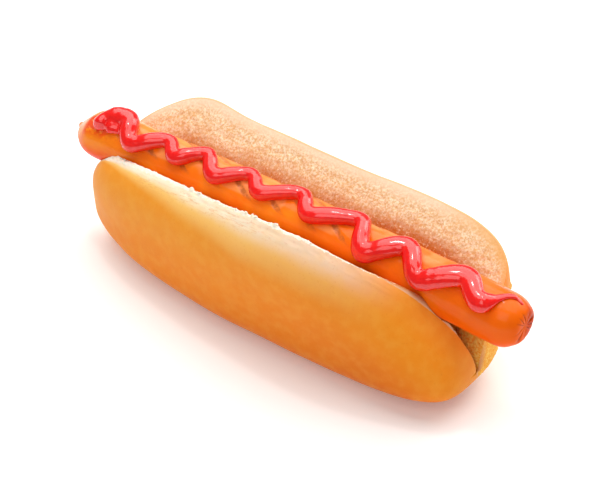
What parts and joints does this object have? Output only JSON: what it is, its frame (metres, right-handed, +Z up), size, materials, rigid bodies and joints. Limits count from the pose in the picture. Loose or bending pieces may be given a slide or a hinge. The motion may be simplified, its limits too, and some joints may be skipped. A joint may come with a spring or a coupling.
{
  "type": "hot dog",
  "caption": "Hot dog: a soft bun opened along its slit, holding a longer frankfurter with a piped zigzag of ketchup on top.",
  "frame": {"origin": "on the table, at the middle of the small flat on the bun's underside, under the slit and half way along the bun", "axes": "+X along the sausage, towards the end with the thin tail of ketchup; +Y towards the half of the bun that is laid further open; +Z up"},
  "size_m": [0.1848, 0.0592, 0.0535],
  "materials": {
    "bun": "soft baked bread: smooth golden crust, paler towards the lips, with a toasted porous crumb on the cut faces",
    "sausage": "orange-brown cooked sausage skin with a greasy shine, faint diagonal score marks and puckered ends",
    "ketchup": "thick wet tomato ketchup, deep red and glossy"
  },
  "bodies": {
    "root": {"bun": "bun", "sausage": "sausage", "ketchup": "ketchup"}
  },
  "joints": []
}
